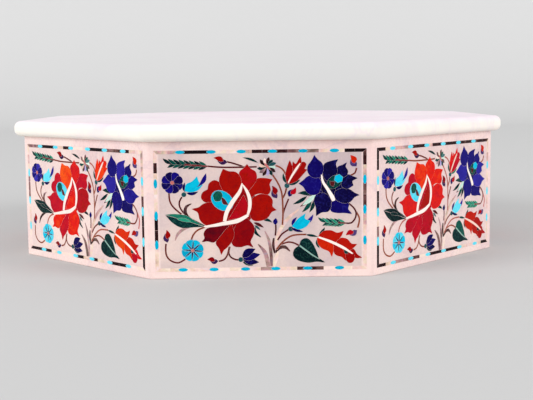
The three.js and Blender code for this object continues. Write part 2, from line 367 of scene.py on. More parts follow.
def heart_leaf():
    midrib = stroke([(71.4, 15), (74.6, 12.5), (77.6, 10.3), (80.6, 8.5)], [0.6, 0.55, 0.45, 0.2])
    return laid("heart_leaf", [("pale_green", midrib, 0.4)]) + petals("heart_leaf", "green", [
        ([(71.3, 15.2), (72.3, 17.6), (74.8, 18.3), (77, 16.3), (79, 12.3), (80, 9), (75.8, 11.6)], (0, 5),
         (0.1, 0.25, 0.6)),
        ([(71.2, 14.9), (75.6, 11.4), (80, 8.9), (83, 7), (79.4, 7.5), (75, 7.1), (70.5, 8.3), (68.4, 10.6),
          (69, 13.3)], (0, 3), (0.0, 0.1, 0.15)),
    ])


def open_flower(group, centre, radius, share, kinds, heart, start, divider=None):
    """A small flower. kinds gives (kind, tones) petal by petal, heart is (kind, radius, tone), and
    divider is (kind, width, tone). share is how much of its room a petal fills."""
    drawn = [(heart[0], oval(centre, 2 * heart[1], 2 * heart[1], 0, 10), heart[2])]
    turn = 2 * math.pi / len(kinds)
    for i in range(len(kinds) if divider else 0):
        out = ray(start + (i + 0.5) * turn)
        ends = [Vector(centre) + out * radius * reach for reach in (0.15, 0.5, 0.8)]
        line = stroke(ends, [divider[1] * taper for taper in (1, 0.8, 0.3)])
        drawn.append((divider[0], line, divider[2]))
    width = 2 * share * radius * math.tan(turn / 2)
    for i, (kind, tones) in enumerate(kinds):
        petal = rounded_petal(centre, start + i * turn, radius * 0.1, radius, width)
        drawn.append((kind, petal, *tones))
    return laid(group, drawn)


def paler_on_the_sides(tone, more):
    return (tone, tone + more, tone + more)


# Each petal of the shell flower: its kind of stone, its tone and its reach. Their many colours are
# partly the shell's own and partly painted reflection in its nacre.
SHELL_PETALS = [
    ("teal", 0.3, 4.7), ("green", 0.3, 4.3), ("shell", 0.12, 4.7), ("shell", 0.95, 4.3),
    ("shell", 0.15, 4.8), ("shell", 0.85, 4.2), ("green", 0.1, 4.7), ("shell", 0.4, 4.5),
    ("shell", 0.1, 4.7), ("violet", 0.95, 4.2), ("green", 0.05, 4.8), ("shell", 0.1, 4.7),
    ("pale_green", 0.8, 4.1),
]


def small_flowers():
    tones = (0.25, 0.6, 0.2, 0.5, 0.3, 0.65, 0.25, 0.45)
    blue = [("blue", paler_on_the_sides(tone, 0.3)) for tone in tones]
    stones = open_flower("small_flowers", (12.2, 45.4), 5.2, 0.86, blue, ("maroon", 0.9, 0.9), 0.35)
    drawn = [("maroon", leaf((55, 54.2), (58.2, 50.6), 1), 0.95)]
    centre = Vector((56.4, 52.3))
    for i, (kind, tone, reach) in enumerate(SHELL_PETALS):
        tip = centre + ray(2 * math.pi * i / len(SHELL_PETALS) + 0.4) * reach
        drawn.append((kind, leaf(centre, tip, 1.7, 0.2, 0.66), *paler_on_the_sides(tone, 0.3)))
    return stones + laid("small_flowers", drawn)


def turquoise_flower():
    tones = (0.35, 0.55, 0.4, 0.5, 0.3, 0.6, 0.45, 0.5)
    kinds = [("turquoise", paler_on_the_sides(tone, 0.35)) for tone in tones]
    heart, divider = ("maroon", 0.7, 0.95), ("blue", 0.6, 0.1)
    return open_flower("turquoise_flower", (21.1, 13.4), 5.3, 0.9, kinds, heart, 0.3, divider)


def leaf_ear(tip, base, upper, lower, length, width, tone):
    """An ear of leaflets that point back along a thin rib. upper and lower are how many there are
    on each side of it."""
    tip, base = Vector(tip), Vector(base)
    rib = (base - tip).normalized()
    across = Vector((-rib.y, rib.x))
    drawn = [("red", stroke([tip + rib * length * 2, base], 0.6), 0.12)]
    for side, count, spare in ((1, upper, 0.8), (-1, lower, 1.3)):
        first = length * spare
        pace = ((base - tip).length - first) / (count - 1)
        reach = across * side * length * 0.47 - rib * length * 0.88
        for i in range(count):
            root = tip + rib * (first + pace * i) - across * side * 0.2
            leaflet = leaf(root, root + reach, width, bend=0.25 * side, widest=0.5)
            drawn.append(("green", leaflet, *paler_on_the_sides(tone + 0.45 * (i % 2), 0.3)))
    return laid("leaves", drawn)


def bud(base, tip, width, flame, cup):
    """A small bud: a flame of one stone held in a cup of another. flame and cup are (kind, tone)."""
    base, tip = Vector(base), Vector(tip)
    lean = width * 0.22
    flame_outline = leaf(base.lerp(tip, 0.28), tip, width, -lean, 0.36)
    cup_outline = leaf(base, base.lerp(tip, 0.8), width * 1.1, lean, 0.4)
    return laid("buds", [(flame[0], flame_outline, flame[1]), (cup[0], cup_outline, cup[1])])


def buds():
    small = [
        ((38, 54.6), (31.6, 56.8), 2.4, ("red", 0.3), ("violet", 0.1)),
        ((9.4, 17.3), (9.1, 23.4), 2.4, ("red", 0.35), ("violet", 0.25)),
        ((33, 8.2), (27.8, 9), 2.2, ("red", 0.25), ("violet", 0.15)),
        ((60.9, 37.5), (58.6, 43.5), 2.5, ("red", 0.25), ("violet", 0.2)),
        ((66.4, 38.2), (69.7, 42.6), 2.3, ("red", 0.5), ("blue", 0.4)),
        ((98.1, 52), (95.2, 57.3), 2.8, ("orange", 0.5), ("violet", 0.4)),
        ((98.3, 21.9), (93, 19.6), 2.4, ("red", 0.45), ("violet", 0.45)),
    ]
    upper_bell = [(17.9, 41.4), (18.6, 44.6), (21.4, 46), (23.8, 48.4), (24.6, 45.8), (26.4, 44.2),
                  (24, 41.7), (20.6, 40.9)]
    lower_bell = [(67.7, 24.2), (70.6, 27.8), (74.2, 30.3), (73.9, 27.8), (76.4, 26.8), (74.6, 24.1),
                  (71, 22.7)]
    stones = [stone for drawn in small for stone in bud(*drawn)]
    return stones + laid("buds", [
        ("blue", leaf((23.6, 43.2), (28, 49.7), 2, -0.9, 0.6), 0.7),
        ("turquoise", loop(upper_bell, corners=(0, 3, 5)), 0.5, 0.9, 0.9),
        ("blue", leaf((18.3, 40.8), (18.1, 45.6), 1.5, 0.6), 0.2),
        ("blue", leaf((18.6, 40.6), (24.3, 41.2), 1.6, -0.7), 0.2),
        ("teal", oval((17.5, 39.8), 2.3, 2.3), 0.35),
        ("blue", leaf((44.4, 9.6), (50.6, 13.8), 3.6, 0.7), 0.2),
        ("blue", leaf((44.6, 9), (52.8, 11.2), 3.6, 0.2), 0.35),
        ("blue", leaf((44.6, 8.6), (52.2, 7.4), 3.2, -0.2), 0.15),
        ("green", leaf((44.2, 10.2), (47.6, 13.6), 1.3, 0.3), 0.3),
        ("green", leaf((44.4, 7.8), (49.4, 5.9), 1.5, -0.2), 0.35),
        ("teal", oval((43.6, 8.8), 2.3, 2.3), 0.35),
        ("blue", leaf((59.9, 25), (60.3, 28.3), 2.2, 0.1), 0.4),
        ("turquoise", loop(lower_bell, corners=(0, 2, 4)), 0.55, 0.95, 0.95),
        ("blue", leaf((73.6, 25.4), (77.8, 29.8), 1.8, -0.7), 0.8),
        ("blue", leaf((67.8, 24.4), (70.2, 28.6), 1.5, 0.5), 0.5),
        ("blue", leaf((67.4, 23.4), (73, 21.6), 1.5, -0.2), 0.25),
        ("teal", oval((67.2, 23), 2.4, 2.3), 0.3),
    ])


def small_leaves():
    upper_half = [(8.7, 30.5), (13, 30.8), (18.4, 30), (22.4, 27.5), (27, 24.7), (17.6, 27.7)]
    lower_half = [(8.7, 30.3), (17.6, 27.6), (27, 24.5), (22, 24.4), (16.4, 24.2), (12, 26.6)]
    upper_blade = [(21, 35.5), (18.6, 34.2), (18, 31.4), (19.8, 28.6), (23.6, 26.6), (27, 24.9)]
    lower_blade = [(13, 18.2), (14.4, 21.4), (17.8, 24), (22, 25.2)]
    stones = laid("leaves", [
        ("green", leaf((52.2, 54.3), (45, 56.8), 1.2, -0.4), 0.1),
        ("green", leaf((14, 28.4), (21, 26.8), 1.6, 0.3), 1.0, 0.15, 0.1),
        ("green", loop(upper_half, corners=(0, 4)), 0.7, 0.15, 0.1),
        ("green", loop(lower_half, corners=(0, 2)), 0.3, 0.05, 0.05),
        ("shell", stroke(upper_blade, [0.3, 1.3, 1.6, 1.4, 1, 0.5]), 0.25, 0.5, 0.3),
        ("shell", stroke(lower_blade, [0.3, 1.3, 1.4, 0.8]), 0.45, 0.2, 0.5),
        ("green", leaf((54, 27.5), (58.6, 26.1), 1.4, 0.6), 0.15),
        ("maroon", leaf((49.8, 26.3), (54.6, 23.8), 1.5, 0.2), 0.2),
        ("teal", leaf((50.2, 25), (53, 22.6), 1.1, 0.1), 0.4),
        ("green", stroke([(50.3, 24), (50.8, 21.4), (53.2, 19.3)], [0.8, 1.4, 0.3]), 0.2),
        ("pale_green", leaf((79.2, 39.4), (72.6, 34), 2.1, 0.3), 0.85),
        ("green", leaf((77.4, 38.6), (70.6, 39.7), 2.1, -0.7), 0.25),
        ("green", leaf((75, 38.4), (68.2, 34.6), 1.7, 0.4), 0.15),
        ("green", leaf((78.2, 38.6), (74.2, 41.8), 1.3, -0.5), 0.15),
        ("maroon", leaf((76.4, 37.6), (71.4, 33.4), 1.4, 0.5), 0.2),
        ("green", leaf((77, 36.8), (72.5, 30.8), 1.9, 0.6), 0.4),
        ("green", leaf((78.2, 36.6), (75.9, 30.6), 1.7, 0.5), 0.2),
    ])
    stones += leaf_ear((8.2, 54.7), (28.9, 52.9), 8, 7, 4.9, 1.6, 0.05)
    stones += leaf_ear((80.2, 26.3), (93.2, 25.4), 6, 6, 4.6, 1.4, 0.4)
    return stones


def stems():
    """Thin stems, and the broad blades of shell at the foot of the bunch."""
    thin = [
        ([(28.5, 53), (35, 52.4), (44, 52.3), (51.6, 52.4)], 0.3),
        ([(37.8, 54.9), (40.6, 54.2), (45, 52.7)], 0.15),
        ([(10.6, 41), (10.9, 37), (12.5, 34), (16.2, 30.6)], 0.4),
        ([(16.6, 38.7), (15.4, 36.6), (15.5, 34), (17.4, 31)], 0.25),
        ([(8.7, 16.8), (8.5, 13.5), (9, 10.8), (11, 8.6), (14.4, 7.7), (17.6, 9.4)], 0.4),
        ([(20.6, 18.2), (21.4, 20.6), (23.6, 23), (27, 24.4)], 0.55),
        ([(33.3, 8.2), (35.6, 8.8), (37.3, 11), (38.3, 14.8)], 0.35),
        ([(38.6, 15), (38, 12), (39, 10), (41, 8.9), (42.6, 8.7)], 0.25),
        ([(60.2, 25.2), (60.2, 22.6), (59.9, 20)], 0.15),
        ([(58.6, 49), (61, 45.4), (62.7, 41.6), (63.4, 37.6), (63.6, 30), (63.3, 25)], 0.5),
        ([(60.4, 52.9), (62.5, 52), (64.2, 50.4), (65, 48.6)], 0.55),
        ([(65.3, 42.2), (64.8, 40), (63.6, 37.6)], 0.4),
        ([(66.3, 37.2), (64.4, 32.6), (63.7, 30.2)], 0.25),
        ([(98.1, 51.3), (97.4, 49), (95.4, 47.9)], 0.4),
        ([(93.1, 25.4), (95.6, 25.5), (97.5, 27.8), (97.8, 30.6), (96.4, 33), (94.2, 34.8)], 0.2),
        ([(98, 30.6), (99.3, 28), (99.3, 26), (98.6, 23.2)], 0.66),
        ([(61, 17.8), (63, 20.6), (66.3, 22.8)], 0.25),
        ([(60.4, 13.4), (63.4, 17), (68, 19.9), (74.4, 20.3)], 0.55),
        ([(62, 15.6), (66, 16.8), (69, 16.2), (71.3, 14.9)], 0.4),
    ]
    blades = [
        ([(51.8, 16), (54.8, 12.4), (56, 8.6), (56.6, 5.2)], [0.4, 1.8, 2, 1.9], 0.45),
        ([(55, 22.2), (56.8, 18), (57.8, 12), (58, 5.4)], [0.3, 1.3, 1.5, 1.2], 0.55),
        ([(61.2, 12.4), (60.2, 9.2), (58.9, 5.2)], [0.6, 1.9, 1.5], 0.95),
        ([(59.2, 18.8), (58.9, 15.4), (59.6, 11.6)], [0.7, 1.3, 0.8], 0.25),
        ([(66.8, 12.4), (64.4, 14.5), (61.8, 14.1), (60, 12)], [0.4, 1.6, 1.5, 0.9], 0.3),
        ([(71, 32.2), (66.4, 28.4), (63, 24), (60.8, 18.8), (59.6, 12)], [0.5, 1.6, 1.7, 1.5, 1], 0.75),
    ]
    drawn = [("maroon", stroke(points, STEM_WIDTH), tone, tone + 0.2, tone + 0.25) for points, tone in thin]
    drawn += [("shell", stroke(points, widths), tone) for points, widths, tone in blades]
    return laid("stems", drawn)


# The border: ovals of turquoise between strips of shell. Each side has the places of its ovals,
# and three rows of tones: for the front panel, then for the panels to its left and right. A
# strip's tone is a digit, from 0 for the darkest shell to 9 for the palest, and a strip of several
# pieces has as many digits. How dark or pale a strip is, is partly the shell's own colour and
# partly painted reflection in its nacre.
OVAL_LENGTH, OVAL_HEIGHT = 4.4, 1.75
OVAL_TONES = (0.45, 0.95, 0.95)
PALEST_DIGIT = 9
BORDER = {
    "top": ([16, 30.5, 44.5, 59, 73.2, 87.8],
            ["6 0 8 611 24 58 800", "4 0 71 9 0 3 18", "18 6 1 71 1 2 2"]),
    "low": ([16.5, 31, 45.8, 60, 75, 90],
            ["8 8 8 85 883 38 8", "1 18 9 18 28 0 9", "17 5 39 1 0 8 71"]),
    "left": ([16.2, 30, 45], ["8 1 8 828", "9 8 4 8", "0 48 008 900"]),
    "right": ([17.3, 31.8, 46], ["8 86 3 63", "0 1 37 6", "8 7 8 7"]),
}


def border_strip(at, first, last, first_mitre, last_mitre):
    """A strip between two stops. The mitres say how far its ends slant."""
    half = BAND_WIDTH / 2
    outer = [at(first - first_mitre, -half), at(last + last_mitre, -half)]
    inner = [at(last - last_mitre, half), at(first + first_mitre, half)]
    return outer + inner


def border_side(side):
    places, rows = BORDER[side]
    level = {"top": BAND_HIGH, "low": BAND_LOW, "left": BAND_LEFT, "right": BAND_RIGHT}[side]
    upright = side in ("left", "right")
    inward = 1 if side in ("left", "low") else -1
    corners = (BAND_LOW, BAND_HIGH) if upright else (BAND_LEFT, BAND_RIGHT)

    def at(along, across):
        across = level + across * inward
        return Vector((across, along)) if upright else Vector((along, across))

    size = (OVAL_HEIGHT, OVAL_LENGTH) if upright else (OVAL_LENGTH, OVAL_HEIGHT)
    drawn = [("turquoise", oval(at(place, 0), *size), *OVAL_TONES) for place in places]
    stops = [corners[0], *places, corners[1]]
    for first, last, *digits in zip(stops, stops[1:], *(row.split() for row in rows)):
        pieces = max(len(run) for run in digits)
        for piece in range(pieces):
            ends = [first + (last - first) * share / pieces for share in (piece, piece + 1)]
            mitred = [abs(stop - corner) < SAME_POINT for stop, corner in zip(ends, corners)]
            mitres = [BAND_WIDTH / 2 if is_mitred else 0 for is_mitred in mitred]
            tones = [int(run[min(piece, len(run) - 1)]) / PALEST_DIGIT for run in digits]
            drawn.append(("shell", border_strip(at, *ends, *mitres), *tones))
    return laid("border", drawn)


def border():
    return [stone for side in BORDER for stone in border_side(side)]


def panel_drawing():
    return (
        rose() + blue_flower() + orange_bud() + tulip() + heart_leaf() + turquoise_flower()
        + small_flowers() + buds() + small_leaves() + stems() + border()
    )


# Cutting the stones

def cut_stones(stones):
    """Fits the stones together. Each one is cut back by a joint from those that lie over it.
    Returns the triangles of each stone's face, each as three points."""
    points, faces = [], []
    for stone in stones:
        outline = anticlockwise(stone.outline)
        for ring in (outline, spread(outline, JOINT)):
            faces.append(list(range(len(points), len(points) + len(ring))))
            points += ring
    places, _, triangles, _, _, owners = delaunay_2d_cdt(points, [], faces, 1, SAME_POINT, True)
    cut = [[] for _ in stones]
    for triangle, owner in zip(triangles, owners):
        if not owner:
            continue
        top = min(owner)
        if top % 2 == 0:
            cut[top // 2].append([places[i] for i in triangle])
    return cut


def only_verts(made):
    """The corners among what an operator made."""
    return [item for item in made if isinstance(item, bmesh.types.BMVert)]


def islands(faces):
    """Groups of faces that touch at an edge or a corner."""
    left = dict.fromkeys(faces)
    groups = []
    while left:
        group = [left.popitem()[0]]
        for face in group:
            near = [other for vert in face.verts for other in vert.link_faces if other in left]
            for other in dict.fromkeys(near):
                del left[other]
                group.append(other)
        groups.append(group)
    return groups


def stone_solid(bm, triangles, index, material_index, layer):
    """Adds one stone as a closed solid. Its back lies at z = 0."""
    corners = {}
    faces = []
    for triangle in triangles:
        ring = []
        for x, y in triangle:
            key = (round(x, 4), round(y, 4))
            if key not in corners:
                corners[key] = bm.verts.new((x, y, 0))
            ring.append(corners[key])
        if len(set(ring)) == 3:
            faces.append(bm.faces.new(ring))
    for island in islands(faces):
        if sum(face.calc_area() for face in island) < CRUMB_AREA:
            bmesh.ops.delete(bm, geom=island, context="FACES")
    faces = [face for face in faces if face.is_valid]
    verts = [vert for vert in corners.values() if vert.is_valid]
    edges = list(dict.fromkeys(edge for face in faces for edge in face.edges))
    flat = bmesh.ops.dissolve_limit(
        bm, angle_limit=FLAT_ANGLE, verts=verts, edges=edges,
        use_dissolve_boundaries=False, delimit=set(),
    )["region"]
    faces = [f for f in flat if isinstance(f, bmesh.types.BMFace)] or [f for f in faces if f.is_valid]
    for face in faces:
        face[layer] = index
        face.material_index = material_index
        if face.normal.z < 0:
            face.normal_flip()
    grown = bmesh.ops.extrude_face_region(bm, geom=faces)["geom"]
    thickness = (STONE_THICKNESS + STONE_PROUD) / MM
    bmesh.ops.translate(bm, verts=only_verts(grown), vec=(0, 0, thickness))


def group_pattern(stones, cut, group, kinds):
    """One group's stones in the drawing plane, in millimetres, with each face's stone number."""
    bm = bmesh.new()
    layer = bm.faces.layers.int.new("stone")
    for index, stone in enumerate(stones):
        if stone.group == group and cut[index]:
            stone_solid(bm, cut[index], index, kinds.index(stone.kind), layer)
    bmesh.ops.recalc_face_normals(bm, faces=bm.faces[:])
    mesh = bpy.data.meshes.new(group + "_pattern")
    bm.to_mesh(mesh)
    bm.free()
    return mesh


def panel_place(index):
    """From the drawing, in millimetres, to a panel of the box."""
    across = Matrix.Translation((-DRAWING_MIDDLE, 0, -STONE_THICKNESS / MM))
    upright = Matrix.Rotation(math.pi / 2, 4, "X")
    out = Matrix.Translation((0, -ACROSS_FLATS / 2, 0))
    turn = Matrix.Rotation(index * SIDE_ANGLE, 4, "Z")
    return turn @ out @ upright @ Matrix.Scale(MM, 4) @ across


# Which of three tones each panel takes
TONE_ROW = {
    "front": 0, "front_left": 1, "left": 2, "back_left": 1,
    "back": 0, "back_right": 2, "right": 1, "front_right": 2,
}
TONE_SCATTER = 0.06


def stone_tone(stone, side, dice):
    """The tone of a stone on one panel: the chosen one, give or take a little."""
    row = TONE_ROW[side] if len(stone.tones) == 3 else 0
    return min(max(stone.tones[row] + dice.uniform(-TONE_SCATTER, TONE_SCATTER), 0), 1)


# Each group of stones: what its pieces are called, and the finish of their main stone
GROUPS = {
    "border": ("border_strips", "shell"),
    "rose": ("rose_petals", "red_stone"),
    "blue_flower": ("blue_flower_petals", "blue_stone"),
    "orange_bud": ("orange_bud_petals", "orange_stone"),
    "tulip": ("tulip_petals", "red_stone"),
    "heart_leaf": ("heart_leaf_halves", "green_stone"),
    "turquoise_flower": ("turquoise_flower_petals", "turquoise"),
    "small_flowers": ("small_flower_petals", "blue_stone"),
    "buds": ("bud_stones", "red_stone"),
    "leaves": ("leaf_stones", "green_stone"),
    "stems": ("stem_stones", "shell"),
}
CAD_GROUPS = ("border", "rose", "blue_flower", "orange_bud", "tulip", "heart_leaf", "turquoise_flower")


def finish_piece(name, mesh, materials, replaced):
    piece = placed(name, mesh)
    for material in materials:
        mesh.materials.append(material)
    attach(piece, "root")
    if replaced:
        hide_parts(*replaced)


def inlay(materials):
    """All stones of all panels."""
    stones = panel_drawing()
    cut = cut_stones(stones)
    for group, (piece_name, slot) in GROUPS.items():
        kinds = sorted({stone.kind for stone in stones if stone.group == group})
        pattern = group_pattern(stones, cut, group, kinds)
        numbers = [item.value for item in pattern.attributes["stone"].data]
        for index, side in enumerate(PANELS):
            mesh = pattern.copy()
            mesh.name = f"{side}_{piece_name}"
            mesh.transform(panel_place(index))
            dice = random.Random(f"{side} {group}")
            tones = {number: stone_tone(stones[number], side, dice) for number in sorted(set(numbers))}
            tone = mesh.attributes.new("tone", "FLOAT", "FACE")
            tone.data.foreach_set("value", [tones[number] for number in numbers])
            mesh.attributes.remove(mesh.attributes["stone"])
            replaced = [f"{side}_{group}"] if group in CAD_GROUPS else []
            finish_piece(mesh.name, mesh, [materials[kind] for kind in kinds], replaced)
        bpy.data.meshes.remove(pattern)


# The marble pieces

def octagon(bm, across_flats, height):
    """A flat octagon with its flats facing the axes."""
    radius = across_flats / 2 / math.cos(SIDE_ANGLE / 2)
    verts = bmesh.ops.create_circle(bm, cap_ends=True, segments=SIDES, radius=radius)["verts"]
    turn = Matrix.Translation((0, 0, height)) @ Matrix.Rotation(SIDE_ANGLE / 2, 4, "Z")
    bmesh.ops.transform(bm, matrix=turn, verts=verts)
    return verts[0].link_faces[0]


def raise_face(bm, face, rise):
    """Extrudes a face straight up or down and returns the moved face. A face on its own stays as
    the other end of a prism, and one with neighbours is taken away."""
    has_neighbours = any(len(edge.link_faces) > 1 for edge in face.edges)
    made = bmesh.ops.extrude_face_region(bm, geom=[face])["geom"]
    bmesh.ops.translate(bm, verts=only_verts(made), vec=(0, 0, rise))
    if has_neighbours:
        bmesh.ops.delete(bm, geom=[face], context="FACES_ONLY")
    return next(f for f in made if isinstance(f, bmesh.types.BMFace))


def upright_edges(bm, inside, outside):
    """Upright edges whose distance from the axis lies between two values."""
    found = []
    for edge in bm.edges:
        a, b = (v.co for v in edge.verts)
        if (a.xy - b.xy).length < SAME_PLACE and inside < a.xy.length < outside:
            found.append(edge)
    return found


def rim_edges(bm, height, inside, outside):
    """Sharp edges that run round at one height, between two distances from the axis."""
    found = []
    for edge in bm.edges:
        level = all(abs(v.co.z - height) < SAME_PLACE for v in edge.verts)
        reach = edge.verts[0].co.xy.length
        if level and edge.calc_face_angle(0) > SHARP_ANGLE and inside < reach < outside:
            found.append(edge)
    return found


def soften(bm, edges, amount, segments):
    """Rounds edges and shades the new strips smooth."""
    made = bmesh.ops.bevel(
        bm, geom=edges, offset=amount, offset_type="OFFSET", segments=segments,
        profile=0.5, affect="EDGES", material=-1, clamp_overlap=False,
    )
    for face in made["faces"]:
        face.smooth = True


def corner_cut(radius):
    """How far from an upright corner a rounding of this radius begins."""
    return radius * math.tan(SIDE_ANGLE / 2)


def finished_mesh(bm, name):
    bmesh.ops.recalc_face_normals(bm, faces=bm.faces[:])
    mesh = bpy.data.meshes.new(name)
    bm.to_mesh(mesh)
    bm.free()
    return mesh


def is_outer_flat(face):
    """True for the eight outer faces that carry a panel."""
    middle = face.calc_center_median()
    return middle.xy.length > (ACROSS_FLATS - WALL) / 2 and face.calc_area() > BODY_HEIGHT**2 / 2


def body_mesh():
    bm = bmesh.new()
    top = raise_face(bm, octagon(bm, ACROSS_FLATS, 0), BODY_HEIGHT)
    bmesh.ops.inset_region(bm, faces=[top], thickness=WALL, use_even_offset=True)
    raise_face(bm, top, FLOOR - BODY_HEIGHT)
    bmesh.ops.recalc_face_normals(bm, faces=bm.faces[:])
    outermost = 2 * ACROSS_FLATS
    inside_wall = (ACROSS_FLATS - WALL) / 2 / math.cos(SIDE_ANGLE / 2)
    soften(bm, upright_edges(bm, inside_wall, outermost), corner_cut(OUTER_CORNER_RADIUS), BODY_SEGMENTS)
    soften(bm, upright_edges(bm, 0, inside_wall), corner_cut(INNER_CORNER_RADIUS), BODY_SEGMENTS)
    soften(bm, rim_edges(bm, FLOOR, 0, inside_wall), FLOOR_FILLET, BODY_SEGMENTS)
    soften(bm, rim_edges(bm, BODY_HEIGHT, 0, outermost), RIM_ROUND, RIM_SEGMENTS)
    soften(bm, rim_edges(bm, 0, 0, outermost), RIM_ROUND, RIM_SEGMENTS)
    tint_and_reflection = bm.verts.layers.float.new("tint_and_reflection")
    fields = [face for face in bm.faces if is_outer_flat(face)]
    bmesh.ops.inset_individual(bm, faces=fields, thickness=FIELD_INSET, use_even_offset=True)
    front = min(fields, key=lambda face: face.calc_center_median().y)
    for field in fields:
        bmesh.ops.inset_individual(bm, faces=[field], thickness=FIELD_FADE, use_even_offset=True)
        for vert in field.verts:
            vert[tint_and_reflection] = FRONT_TINT if field == front else OTHER_TINT
    return finished_mesh(bm, "marble_body")


def lid_mesh():
    bm = bmesh.new()
    raise_face(bm, octagon(bm, LID_ACROSS_FLATS, BODY_HEIGHT), LID_THICKNESS)
    bmesh.ops.recalc_face_normals(bm, faces=bm.faces[:])
    outermost = 2 * LID_ACROSS_FLATS
    soften(bm, upright_edges(bm, 0, outermost), corner_cut(LID_CORNER_RADIUS), LID_CORNER_SEGMENTS)
    top_and_bottom = (BODY_HEIGHT, BODY_HEIGHT + LID_THICKNESS)
    rims = [edge for height in top_and_bottom for edge in rim_edges(bm, height, 0, outermost)]
    soften(bm, rims, LID_EDGE_ROUND, LID_EDGE_SEGMENTS)
    under = min(bm.faces, key=lambda face: face.calc_center_median().z - face.calc_area())
    slab_rim = under.edges[:]
    bmesh.ops.delete(bm, geom=[under], context="FACES_ONLY")
    key_across = ACROSS_FLATS - 2 * (WALL + KEY_CLEARANCE)
    key_top = raise_face(bm, octagon(bm, key_across, BODY_HEIGHT - KEY_DEPTH), KEY_DEPTH)
    key_rim = key_top.edges[:]
    bmesh.ops.delete(bm, geom=[key_top], context="FACES_ONLY")
    bmesh.ops.bridge_loops(bm, edges=slab_rim + key_rim)
    # The top face takes a painted reflection: a pink-lavender colour that fades out over the rounded edge.
    tint_and_reflection = bm.verts.layers.float.new("tint_and_reflection")
    for vert in bm.verts:
        vert[tint_and_reflection] = 1 - min((BODY_HEIGHT + LID_THICKNESS - vert.co.z) / LID_EDGE_ROUND, 1)
    return finished_mesh(bm, "marble_lid")


# Materials

# How large the patterns are, in clouds a metre, and how strong
STONE_SCALE, FINE_STONE_SCALE, SHELL_SCALE = 260, 420, 160
TONE_SHIFT = 3.7
SHELL_STRETCH = 0.35
# How strongly the painted sheen is laid over the shell
PAINTED_SHEEN_SHARE = 0.35
VEIN_SHARPNESS = 28
VEIN_SHARE = 0.35


def colour(red, green, blue):
    """A colour as seen on a screen, from 0 to 255, as the shader's linear values."""
    def linear(value):
        share = value / 255
        return share / 12.92 if share <= 0.04045 else ((share + 0.055) / 1.055) ** 2.4
    return (linear(red), linear(green), linear(blue), 1)


def feed(tree, socket, value):
    """Gives a socket a plain value, or links it to the output of another node."""
    if isinstance(value, bpy.types.NodeSocket):
        tree.links.new(value, socket)
    else:
        socket.default_value = value


def add_node(tree, kind, inputs=None, **settings):
    """A new node. inputs gives what goes into its sockets, by their names or numbers."""
    node = tree.nodes.new("ShaderNode" + kind)
    for name, value in settings.items():
        setattr(node, name, value)
    for name, value in (inputs or {}).items():
        feed(tree, node.inputs[name], value)
    return node


def noise(tree, vector, scale, detail, roughness=0.55, distortion=0.0):
    """A cloudy value from 0 to 1. scale is in clouds a metre."""
    looks = {"Scale": scale, "Detail": detail, "Roughness": roughness, "Distortion": distortion}
    return add_node(tree, "TexNoise", {"Vector": vector, **looks}).outputs["Fac"]


def scaled(tree, vector, scale):
    inputs = {0: vector, "Scale": scale}
    return add_node(tree, "VectorMath", inputs, operation="SCALE").outputs["Vector"]


def maths(tree, operation, *values, clamp=False):
    inputs = dict(enumerate(values))
    return add_node(tree, "Math", inputs, operation=operation, use_clamp=clamp).outputs["Value"]


def spans(tree, value, inputs, **settings):
    """A value moved from one span to another."""
    return add_node(tree, "MapRange", {"Value": value, **inputs}, **settings).outputs["Result"]


def ramp(tree, value, places, shades):
    """Colours at places along a value from 0 to 1."""
    node = add_node(tree, "ValToRGB", {"Fac": value})
    elements = node.color_ramp.elements
    while len(elements) < len(places):
        elements.new(0.5)
    for element, place, shade in zip(elements, places, shades):
        element.position = place
        element.color = colour(*shade)
    return node.outputs["Color"]


def mixed(tree, share, first, second, blend="MIX"):
    node = add_node(tree, "Mix", data_type="RGBA", blend_type=blend)
    wanted = {"Factor_Float": share, "A_Color": first, "B_Color": second}
    for socket in node.inputs:
        if socket.identifier in wanted:
            feed(tree, socket, wanted[socket.identifier])
    return next(socket for socket in node.outputs if socket.identifier == "Result_Color")


def new_group(name, numbers, masks):
    """A group of nodes that takes a vector and some numbers, and puts out masks."""
    group = bpy.data.node_groups.new(name, "ShaderNodeTree")
    group.interface.new_socket("Vector", in_out="INPUT", socket_type="NodeSocketVector")
    for number, value in numbers.items():
        socket = group.interface.new_socket(number, in_out="INPUT", socket_type="NodeSocketFloat")
        socket.default_value = value
    for mask in masks:
        group.interface.new_socket(mask, in_out="OUTPUT", socket_type="NodeSocketFloat")
    return group, group.nodes.new("NodeGroupInput").outputs, group.nodes.new("NodeGroupOutput").inputs


def marble_group():
    """Soft clouds, faint veins and a fine grain in white marble."""
    group, source, result = new_group("marble_clouds", {"Scale": 1.0}, ["Clouds", "Veins", "Grain"])
    vector = scaled(group, source["Vector"], source["Scale"])
    small = noise(group, vector, scale=38, detail=5, roughness=0.6, distortion=0.6)
    broad = noise(group, vector, scale=11, detail=3, roughness=0.5, distortion=0.4)
    both = maths(group, "MULTIPLY_ADD", broad, 0.5, maths(group, "MULTIPLY", small, 0.5))
    clouds = spans(group, both, {"From Min": 0.36, "From Max": 0.64})
    bend = noise(group, vector, scale=16, detail=4, roughness=0.6, distortion=1.8)
    ridge = maths(group, "ABSOLUTE", maths(group, "SUBTRACT", bend, 0.5))
    vein = maths(group, "SUBTRACT", 1, maths(group, "MULTIPLY", ridge, VEIN_SHARPNESS), clamp=True)
    feed(group, result["Clouds"], clouds)
    feed(group, result["Veins"], maths(group, "MULTIPLY", vein, clouds))
    feed(group, result["Grain"], noise(group, vector, scale=900, detail=2))
    return group


